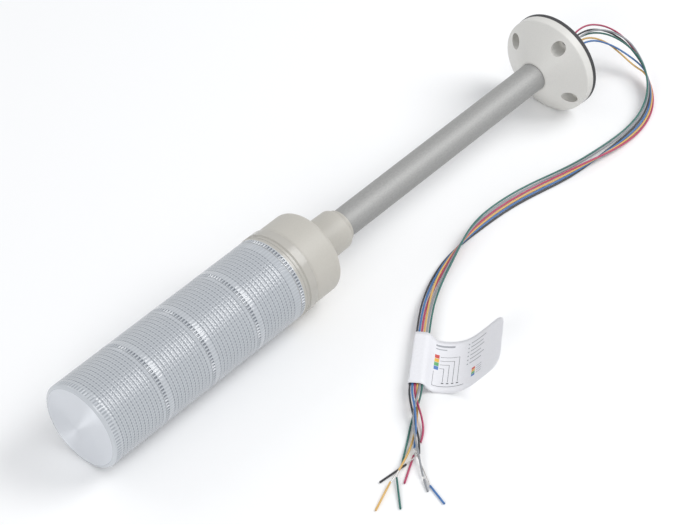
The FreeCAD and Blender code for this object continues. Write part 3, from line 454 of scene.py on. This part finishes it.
def make_lens(number, materials):
    top_tier = number == len(SEAMS)
    below = SEAMS[number - 1]
    bottom = below + SEAM_GAP
    rib_bottom = below + (FIRST_RIB_START if number == 1 else RIB_START)
    rows = [(LENS_BORE, bottom, None), (LENS_RADIUS, bottom, None),
            (LENS_RADIUS, bottom + GRIP_MARGIN, flute)]
    if top_tier:
        rows += rib_rows(rib_bottom, LENS_TOP - TOP_RIB_END)
        rows += grip_rows(LENS_TOP - TOP_GRIP_HEIGHT, LENS_TOP - TOP_EDGE, soft_notch)
        rows += plain_rows(TOP_ROUND, LENS_TOP)
        cap_start = len(rows)
        rows += plain_rows(TOP_CONE + TOP_INSIDE, LENS_TOP)
    else:
        seam = SEAMS[number]
        rows += rib_rows(rib_bottom, seam - RIB_END)
        rows += grip_rows(seam - GRIP_HEIGHT, seam - GRIP_MARGIN) + [(LENS_RADIUS, seam, None)]
        rows += collar_rows(seam, COLLAR_ROOT) + [(LENS_BORE, seam - COLLAR_TAPER, None)]
    lens = revolved("lens_tier_%d" % number, rows, materials["lens"])
    if top_tier:
        paint_rows(lens, materials["cap"], cap_start, cap_start + len(TOP_CONE) - 1)
    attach(lens, "tier_%d" % number)
    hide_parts("lens_%d" % number)


def make_base_ring(materials):
    seam = SEAMS[0]
    profile = [(LENS_BORE, 0), (SKIRT_RADIUS, 0), (SKIRT_RADIUS, SKIRT_HEIGHT)]
    for bead in BEADS:
        profile += [(SKIRT_LAND, bead), (BEAD_RADIUS, bead + BEAD_WIDTH / 2),
                    (SKIRT_LAND, bead + BEAD_WIDTH)]
    rows = plain_rows(profile, SKIRT_BOTTOM)
    skirt_end = len(rows)
    rows += [(SKIRT_LAND, seam - TEETH_START, None)]
    rows += grip_rows(seam - GRIP_HEIGHT, seam - GRIP_MARGIN) + [(LENS_RADIUS, seam, None)]
    rows += collar_rows(seam, RING_COLLAR_ROOT) + [(LENS_BORE, seam - RING_COLLAR_ROOT, None)]
    ring = revolved("clear_base_ring", rows, materials["skirt"])
    paint_rows(ring, materials["lens"], skirt_end, skirt_end + RING_TEETH_ROWS)
    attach(ring, "lamp_base")
    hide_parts("base_ring")


# Leads ------------------------------------------------------------------------------------------
# The routes repeat the CAD's own points: one row of six leads that rolls over as it goes.

LEAD_DIAMETER = 1.3
LEAD_PITCH = 1.6
EXIT_CIRCLE_RADIUS = 2.6

BUNDLE = (
    (293.5, -37.0, 9.2, 75, 180, 0),
    (283.0, -49.0, 6.8, 60, 180, 0),
    (269.5, -58.2, 5.0, 45, 180, 0),
    (253.5, -64.0, 4.0, 35, 178, 0),
    (236.0, -66.0, 3.4, 25, 172, 0),
    (218.0, -65.2, 3.3, 16, 152, 0),
    (200.5, -63.5, 3.6, 8, 120, 0),
    (183.5, -61.2, 3.9, 5, 80, 0),
    (166.5, -57.6, 3.6, 18, 40, 0),
    (149.0, -53.0, 3.4, 33, 12, 0),
    (131.0, -49.4, 3.6, 44, 0, 0),
    (113.0, -47.5, 3.9, 50, 0, 0),
    (96.0, -47.4, 4.4, 62, 0, 0),
    (80.0, -48.8, 4.8, 88, 0, 0),
    (65.0, -51.3, 4.7, 122, 0, 0),
    (51.0, -54.8, 4.2, 148, 0, 8),
    (37.0, -59.2, 3.9, 163, 0, 44),
    (23.5, -64.6, 4.0, 172, 0, 96),
    (10.5, -71.2, 4.9, 177, 0, 144),
    (-1.5, -78.6, 5.9, 180, 0, 174),
    (-13.5, -86.8, 6.2, 180, 0, 180),
    (-27.5, -96.4, 6.4, 180, 0, 180),
    (-42.0, -106.4, 6.2, 180, 0, 180),
    (-53.5, -114.3, 6.3, 180, 0, 180),
)

SEATS = {"green": 2.5, "grey": 1.5, "red": 0.5, "yellow": -0.5, "blue": -1.5, "black": -2.5}
FOUR_MIDDLE = -1.0
FOUR = ("red", "yellow", "blue", "black")
PAIR = ("red", "yellow")
EXIT_TURN = {"red": 0, "black": 60, "green": 120, "yellow": 180, "blue": 240, "grey": 300}

LOOPS = {
    "red": ((251, 2.6, 38.6), (268, 7.2, 38.0), (283.5, 7.0, 35.0), (295, -1.5, 30.0),
            (301, -13.5, 21.5), (299.5, -27, 12.0)),
    "black": ((251, 3.2, 37.2), (267, 5.2, 36.2), (281, 3.6, 33.8), (292.5, -3.2, 28.2),
              (299.2, -14, 20.2), (298.4, -26, 13.2)),
    "green": ((251, 3.2, 34.6), (266.5, 4.2, 34.2), (280, 2.2, 31.8), (290.5, -4.6, 27.6),
              (297, -14.8, 21.2), (297, -26, 16.4)),
    "yellow": ((250, 1.0, 33.0), (265, 3.0, 32.4), (277, 1.6, 29.8), (286, -6.2, 24.2),
               (290.2, -17, 16.2), (292.5, -27.5, 9.2)),
    "blue": ((250, -1.8, 34.2), (265, -0.8, 32.8), (277.5, -3.4, 29.2), (287.5, -11.4, 22.4),
             (293.2, -20.4, 15.6), (296.4, -29.5, 9.8)),
    "grey": ((251, -0.2, 36.8), (267, 2.4, 36.6), (281.5, 1.4, 33.9), (293, -5.6, 29.4),
             (299.6, -16.4, 22.6), (298.6, -27.2, 15.2)),
}

FANS = {
    "green": ((-59, -122.2, 3.4), (-67.5, -125.6, 1.3), (-76.5, -129.6, 0.8),
              (-87.5, -136.6, 0.8), (-98.5, -143.2, 1.4), (-109, -149.4, 2.3)),
    "yellow": ((-60.1, -120.6, 4.9), (-65.6, -125.8, 3.6), (-73, -131.4, 1.3),
               (-83.5, -138, 0.8), (-94.5, -144, 1.9), (-105, -148.6, 3.7), (-114, -151.6, 4.2)),
    "black": ((-62.8, -116.6, 6), (-70.2, -125.3, 3.8), (-77.8, -134.6, 2.8), (-85.6, -144, 2.5),
              (-94.6, -151.4, 3.2)),
    "red": ((-60.8, -119.6, 6.3), (-65.4, -126.1, 5.3), (-71.2, -134.5, 2.9),
            (-78.4, -141.4, 0.9), (-85.4, -144.8, 0.8)),
    "blue": ((-62.2, -118.4, 7.7), (-69.4, -126.5, 8.5), (-76.9, -134, 5), (-84.4, -139.9, 3),
             (-92.6, -145.8, 2.4)),
    "grey": ((-60.3, -121.2, 7.6), (-69.6, -126.2, 6.5), (-78.6, -133, 5), (-86.8, -141.4, 4.2),
             (-94.6, -150.4, 4.8), (-101.4, -158.2, 2.8), (-106.6, -164.4, 1.7)),
}

SLEEVES = {
    "green": ((-118, -153.2, 1.9), (-135, -170.6, 0.7)),
    "yellow": ((-123.4, -152.8, 2.2), (-145.6, -160.2, 0.7)),
    "black": ((-105, -149.9, 0.9), (-126.8, -147.3, 0.7)),
    "red": ((-96.2, -148.4, 0.7), (-117.6, -159, 0.7)),
    "blue": ((-108.9, -171.8, 0.7), (-114.6, -187.8, 0.7)),
    "grey": ((-108, -166.2, 1.4), (-113.4, -173.9, 0.7)),
}


def turn(degrees):
    """A turn by an angle, as the complex number that multiplies a place in the section."""
    angle = math.radians(degrees)
    return complex(math.cos(angle), math.sin(angle))


def row_place(colour, index):
    """A lead's place where the bundle passes one station."""
    x, y, z, roll, roll_four, roll_pair = BUNDLE[index]
    before = BUNDLE[max(index - 1, 0)]
    after = BUNDLE[min(index + 1, len(BUNDLE) - 1)]
    heading = math.atan2(after[1] - before[1], after[0] - before[0])
    seat = complex(SEATS[colour], 0)
    if colour in PAIR:
        seat = seat * turn(roll_pair)
    if colour in FOUR:
        seat = FOUR_MIDDLE + (seat - FOUR_MIDDLE) * turn(roll_four)
    seat = seat * turn(roll) * LEAD_PITCH
    return Vector((x + math.sin(heading) * seat.real, y - math.cos(heading) * seat.real,
                   z + seat.imag)) * MM


def lead_route(colour):
    """A lead's route points from the pole's mouth to the end of its insulation."""
    route = [lamp(EXIT_CIRCLE_RADIUS, math.radians(EXIT_TURN[colour]), 0.0)]
    route += [Vector(point) * MM for point in LOOPS[colour]]
    route += [row_place(colour, index) for index in range(len(BUNDLE))]
    route += [Vector(point) * MM for point in FANS[colour]]
    return route


def nurbs_curve(name, points, radius, material):
    """A round tube along one smooth NURBS line with these control points."""
    data = bpy.data.curves.new(name, "CURVE")
    data.dimensions = "3D"
    data.bevel_depth = radius
    data.bevel_resolution = 4
    data.use_fill_caps = True
    data.resolution_u = 12
    spline = data.splines.new("NURBS")
    spline.points.add(len(points) - 1)
    for point, place in zip(spline.points, points):
        point.co = (*place, 1)
    spline.order_u = 3
    spline.use_endpoint_u = True
    data.materials.append(material)
    piece = bpy.data.objects.new(name, data)
    bpy.context.scene.collection.objects.link(piece)
    return piece


LEAD_COLOURS = {
    "green": (0.02, 0.13, 0.11),
    "grey": (0.27, 0.28, 0.3),
    "red": (0.42, 0.035, 0.11),
    "yellow": (0.68, 0.42, 0.13),
    "blue": (0.05, 0.16, 0.4),
    "black": (0.025, 0.025, 0.03),
}

CONDUCTOR_RADIUS = 0.35
STRAND_RADIUS = 0.12
STRAND_COUNT = 6
STRAND_SIDES = 6
STRAND_STEPS = 24
STRAND_TWIST = 2.2 * math.pi
TIP_SIDES = 16
TIP_EDGE = 0.12


def make_lead(colour, tinned):
    skin = add_grain(principled("lead_%s_skin" % colour, LEAD_COLOURS[colour], roughness=0.38),
                     2500, colour_spread=0.08, roughness_spread=0.08, bump=0.1)
    route = lead_route(colour)
    lead = nurbs_curve("lead_%s_wire" % colour, route, LEAD_DIAMETER / 2 * MM, skin)
    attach(lead, "lamp_base")
    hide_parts("lead_" + colour)
    near, far = [Vector(point) * MM for point in SLEEVES[colour]]
    conductor = make_strands("conductor_" + colour, route[-1], near, tinned)
    tip = make_tip("tip_" + colour, near, far, skin)
    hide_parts("lead_tip_" + colour)


def make_strands(name, start, end, material):
    """A few tinned strands laid in a long twist from the lead's end into its cut insulation."""
    along = end - start
    length = along.length
    along.normalize()
    across = along.orthogonal().normalized()
    other = along.cross(across)
    points, faces = [], []
    sides, steps = STRAND_SIDES, STRAND_STEPS
    for strand in range(STRAND_COUNT):
        phase = 2 * math.pi * strand / STRAND_COUNT
        first = len(points)
        for step in range(steps + 1):
            share = step / steps
            angle = phase + STRAND_TWIST * share
            out = across * math.cos(angle) + other * math.sin(angle)
            middle = (start + along * (length * share)
                      + out * ((CONDUCTOR_RADIUS - STRAND_RADIUS) * MM))
            for side in range(sides):
                around = 2 * math.pi * side / sides
                round_out = across * math.cos(around) + other * math.sin(around)
                points.append(middle + round_out * (STRAND_RADIUS * MM))
        for step in range(steps):
            for side in range(sides):
                after = (side + 1) % sides
                low, high = first + step * sides, first + (step + 1) * sides
                faces.append((low + side, low + after, high + after, high + side))
        faces.append([first + side for side in reversed(range(sides))])
        faces.append([first + steps * sides + side for side in range(sides)])
    strands = mesh_piece(name, points, faces, material, sharp=60.0)
    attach(strands, "lamp_base")
    return strands


def make_tip(name, near, far, material):
    """A short cut length of insulation with a rounded cut edge and its bore."""
    along = far - near
    length = along.length
    along.normalize()
    across = along.orthogonal().normalized()
    other = along.cross(across)
    radius = LEAD_DIAMETER / 2 * MM
    bore = CONDUCTOR_RADIUS * MM
    edge = TIP_EDGE * MM
    rows = [(bore, edge), (bore, 0.0), (radius - edge, 0.0), (radius, edge),
            (radius, length - edge), (radius - edge, length), (bore, length), (bore, length - edge)]
    sides = TIP_SIDES
    points, faces = [], []
    for out, height in rows:
        for side in range(sides):
            angle = 2 * math.pi * side / sides
            points.append(near + along * height
                          + (across * math.cos(angle) + other * math.sin(angle)) * out)
    for row in range(len(rows)):
        following = (row + 1) % len(rows)
        for side in range(sides):
            after = (side + 1) % sides
            faces.append((row * sides + side, row * sides + after, following * sides + after,
                          following * sides + side))
    tip = mesh_piece(name, points, faces, material, sharp=50.0)
    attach(tip, "lamp_base")
    return tip


# Label ------------------------------------------------------------------------------------------
# A white film folded round the row of leads and stuck to itself, whose free end curls up.
# Its section: distance out from the middle of the row, and height above the floor, in mm.

LABEL_START = Vector((-15.0, -87.8, 0)) * MM
LABEL_HEADING = Vector((-0.8241, -0.5664, 0)).normalized()
LABEL_OUTWARDS = Vector((-LABEL_HEADING.y, LABEL_HEADING.x, 0))
LABEL_LENGTH = 46.0
LABEL_CORNER = 9.0
LABEL_STEPS = 6
LABEL_COLUMNS = 14
FILM = 0.14
INK_LIFT = 0.02
PRINT_STEP = 1.2
FLAG = ((8.6, 2.1), (11.0, 1.0), (15.0, 0.55), (21.5, 1.25), (28.5, 4.25), (34.5, 9.6),
        (41.0, 17.4), (46.6, 24.6), (51.2, 30.6))
WRAP_TOP = ((-5.1, 6.3), (-4.8, 7.2), (-3.8, 7.62), (0.0, 7.72), (3.0, 7.55), (5.3, 6.1),
            (6.9, 3.9))
WRAP_BOTTOM = ((-4.8, 5.4), (-3.8, 4.95), (0.0, 4.85), (3.4, 4.75), (5.2, 4.1), (6.9, 2.9))


def smooth_line(corners, steps):
    """A Catmull-Rom line through the corners."""
    line = []
    for index in range(len(corners) - 1):
        before = corners[max(index - 1, 0)]
        start, end = corners[index], corners[index + 1]
        after = corners[min(index + 2, len(corners) - 1)]
        for step in range(steps):
            t = step / steps
            line.append(tuple(
                0.5 * (2 * b + (c - a) * t + (2 * a - 5 * b + 4 * c - d) * t * t
                       + (3 * b - a - 3 * c + d) * t ** 3)
                for a, b, c, d in zip(before, start, end, after)))
    line.append(corners[-1])
    return line


def label_place(out, height, length):
    return (LABEL_START + LABEL_OUTWARDS * (out * MM) + LABEL_HEADING * (length * MM)
            + Vector((0, 0, height * MM)))


def distances(line):
    """How far along a line each of its points lies."""
    total = [0.0]
    for (x, y), (u, v) in zip(line, line[1:]):
        total.append(total[-1] + math.hypot(u - x, v - y))
    return total


TOP_LINE = smooth_line(WRAP_TOP + FLAG, LABEL_STEPS)
TOP_REACH = distances(TOP_LINE)


def corner_inset(from_end):
    """How far the label's long edges pull in near its rounded free end."""
    if from_end >= LABEL_CORNER:
        return 0.0
    return LABEL_CORNER - math.sqrt(LABEL_CORNER ** 2 - (LABEL_CORNER - from_end) ** 2)


def make_label(material):
    low_flag = tuple((out, height - FILM) for out, height in FLAG)
    under = smooth_line(WRAP_TOP[:1] + WRAP_BOTTOM + low_flag, LABEL_STEPS)
    line = list(reversed(TOP_LINE)) + under[1:]
    reach = distances(line)
    columns = LABEL_COLUMNS
    points, faces = [], []
    for (out, height), at in zip(line, reach):
        inset = corner_inset(min(at, reach[-1] - at))
        for column in range(columns + 1):
            length = inset + (LABEL_LENGTH - 2 * inset) * column / columns
            points.append(label_place(out, height, length))
    for row in range(len(line) - 1):
        for column in range(columns):
            first = row * (columns + 1) + column
            faces.append((first, first + 1, first + columns + 2, first + columns + 1))
    label = mesh_piece("lead_label_film", points, faces, material, sharp=60.0)
    thicken = label.modifiers.new("film", "SOLIDIFY")
    thicken.thickness = FILM * MM
    thicken.offset = 0.0
    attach(label, "lamp_base")
    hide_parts("lead_label")


def on_label(reach, length):
    """Place just above the printed side, at a distance round the film from its folded edge."""
    for index in range(len(TOP_REACH) - 1):
        if TOP_REACH[index + 1] >= reach:
            break
    share = (reach - TOP_REACH[index]) / (TOP_REACH[index + 1] - TOP_REACH[index])
    (x, y), (u, v) = TOP_LINE[index], TOP_LINE[index + 1]
    run = math.hypot(u - x, v - y)
    lift = FILM / 2 + INK_LIFT
    return label_place(x + (u - x) * share - (v - y) / run * lift,
                       y + (v - y) * share + (u - x) / run * lift, length)


PRINT_COLOURS = {
    "dark": (0.12, 0.12, 0.14), "grey": (0.36, 0.37, 0.4), "red": (0.6, 0.07, 0.06),
    "amber": (0.8, 0.45, 0.06), "green": (0.1, 0.4, 0.14), "blue": (0.08, 0.2, 0.5),
}
SWATCHES = ("red", "amber", "green", "blue")


def printed_fields():
    """Colour, reach from and to, and length from and to of each plain printed field, in mm."""
    fields = [("grey", 17.5, 30.0, 4.0, 5.6), ("grey", 17.5, 25.0, 7.4, 8.2)]
    for index, colour in enumerate(SWATCHES):
        top = 13.0 + 3.4 * index
        turn_off = 34.0 - 3.2 * index
        fields += [(colour, 17.5, 20.6, top, top + 3.1),
                   ("dark", 21.4, turn_off, top + 1.4, top + 1.7),
                   ("dark", turn_off - 0.3, turn_off, top + 1.7, 36.5),
                   ("dark", turn_off - 0.9, turn_off + 0.6, 37.2, 38.2)]
    fields += [("dark", 17.5, 38.5, 40.4, 40.8), ("dark", 17.5, 17.8, 28.0, 40.4)]
    for index, width in enumerate((17.0, 14.0, 15.5, 12.0, 16.0, 13.0)):
        top = 5.5 + 3.6 * index
        fields += [("grey", 39.5, 40.6, top, top + 1.0),
                   ("grey", 41.8, 41.8 + width * 0.8, top, top + 0.8)]
    for index, colour in enumerate(SWATCHES):
        top = 30.0 + 2.0 * index
        fields += [(colour, 44.5, 47.5, top, top + 1.8), ("grey", 48.6, 53.5, top + 0.5, top + 1.0)]
    return fields


def make_print():
    """The label's printed fields, each colour one thin piece that follows the film."""
    drawn = {colour: ([], []) for colour in PRINT_COLOURS}
    for colour, first, last, top, bottom in printed_fields():
        points, faces = drawn[colour]
        steps = max(1, round((last - first) / PRINT_STEP))
        start = len(points)
        for step in range(steps + 1):
            reach = first + (last - first) * step / steps
            points += [on_label(reach, top), on_label(reach, bottom)]
        for step in range(steps):
            low = start + 2 * step
            faces.append((low, low + 1, low + 3, low + 2))
    for colour, (points, faces) in drawn.items():
        ink = principled("label_ink_" + colour, PRINT_COLOURS[colour], roughness=0.45)
        printed = mesh_piece("label_print_" + colour, points, faces, ink)
        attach(printed, "lamp_base")


# Build ------------------------------------------------------------------------------------------

make_camera()
make_world()
make_lights()
make_floor()
materials = make_materials()
tinned = add_grain(principled("tinned_copper", (0.62, 0.61, 0.6), roughness=0.35, metallic=1.0),
                   3000, colour_spread=0.1)
film = add_grain(principled("label_film", (0.8, 0.8, 0.83), roughness=0.4), 700,
                 colour_spread=0.02, bump=0.1)

for lead_colour in SEATS:
    make_lead(lead_colour, tinned)
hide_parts("bared_conductors")
make_label(film)
make_print()
for tier in range(1, 5):
    make_lens(tier, materials)
make_base_ring(materials)

NODE_MATERIALS = {
    "panel_gasket": "gasket", "mounting_flange": "flange", "pole": "pole", "flange_nut": "zinc",
    "pole_nut": "zinc", "lower_housing": "housing", "control_board": "board",
    "board_screws": "zinc", "terminal_block": "black_plastic", "driver_parts": "black_plastic",
    "column_spacer": "white_plastic", "tie_rod": "zinc", "clamp_disc": "zinc", "rod_nut": "zinc",
    "inner_leads": "black_plastic",
}
for tier in range(1, 5):
    NODE_MATERIALS["tier_board_%d" % tier] = "board"
    NODE_MATERIALS["leds_%d" % tier] = "led"
    NODE_MATERIALS["reflector_%d" % tier] = "white_plastic"
    NODE_MATERIALS["board_link_%d" % tier] = "black_plastic"
    NODE_MATERIALS["tier_seal_%d" % tier] = "seal"
for node, finish in NODE_MATERIALS.items():
    for material_slot in frame["nodes"][node].material_slots:
        material_slot.link = "OBJECT"
        material_slot.material = materials[finish]

bpy.context.scene.view_settings.view_transform = "Standard"
